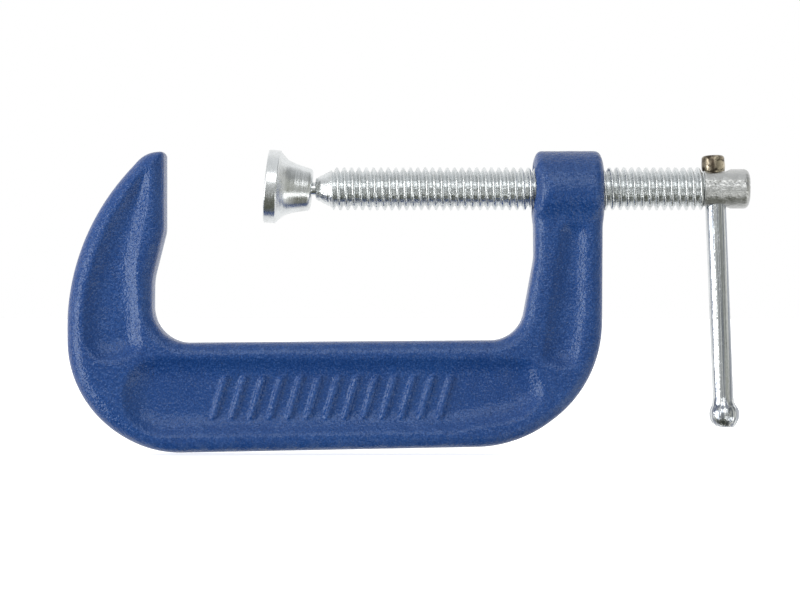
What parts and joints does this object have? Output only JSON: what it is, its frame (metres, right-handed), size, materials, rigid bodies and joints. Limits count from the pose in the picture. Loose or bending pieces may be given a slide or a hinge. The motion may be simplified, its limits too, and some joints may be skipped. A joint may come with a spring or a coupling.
{
  "type": "c clamp",
  "caption": "C clamp with a cast I-section frame, a screw spindle with a tilting swivel pad, and a sliding tommy bar.",
  "frame": {"origin": "middle of the fixed jaw's face, on the spindle's axis", "axes": "+X along the spindle's axis from the fixed jaw to the handle, +Z from the frame's spine to the spindle, +Y across the frame"},
  "size_m": [0.1677, 0.0186, 0.0746],
  "materials": {
    "blue_enamel": "satin enamel over a fine sand-cast surface",
    "zinc_plate": "bright zinc plate with fine turning marks",
    "brown_steel": "heat-tinted brown steel"
  },
  "bodies": {
    "frame": {"frame": "blue_enamel"},
    "spindle_tip": {"spindle_tip": "zinc_plate"},
    "spindle": {"spindle": "zinc_plate"},
    "spindle_ball": {"spindle_ball": "zinc_plate"},
    "swivel_pad": {"swivel_pad": "zinc_plate"},
    "tommy_bar": {"tommy_bar": "zinc_plate", "tommy_bar_cap": "brown_steel"}
  },
  "joints": [
    {"name": "screw_travel", "type": "slide", "parent": "frame", "child": "spindle_tip", "axis": [1, 0, 0], "range_m": [-0.0218, 0.05265]},
    {"name": "screw_turn", "type": "hinge", "parent": "spindle_tip", "child": "spindle", "pos_m": [0.0406, 0, 0], "axis": [1, 0, 0], "range_deg": [-4320, 10440]},
    {"name": "pad_swivel", "type": "hinge", "parent": "spindle_tip", "child": "spindle_ball", "pos_m": [0.0329, 0, 0], "axis": [1, 0, 0], "continuous": true},
    {"name": "pad_tilt", "type": "hinge", "parent": "spindle_ball", "child": "swivel_pad", "pos_m": [0.0329, 0, 0], "axis": [0, 1, 0], "range_deg": [-17, 7]},
    {"name": "tommy_slide", "type": "slide", "parent": "spindle", "child": "tommy_bar", "axis": [-0.0384, 0, 0.9993], "range_m": [0, 0.0465]}
  ],
  "couplings": [
    {"joint": "screw_travel", "follows": "screw_turn", "m_per_rad": 0.00028871}
  ]
}
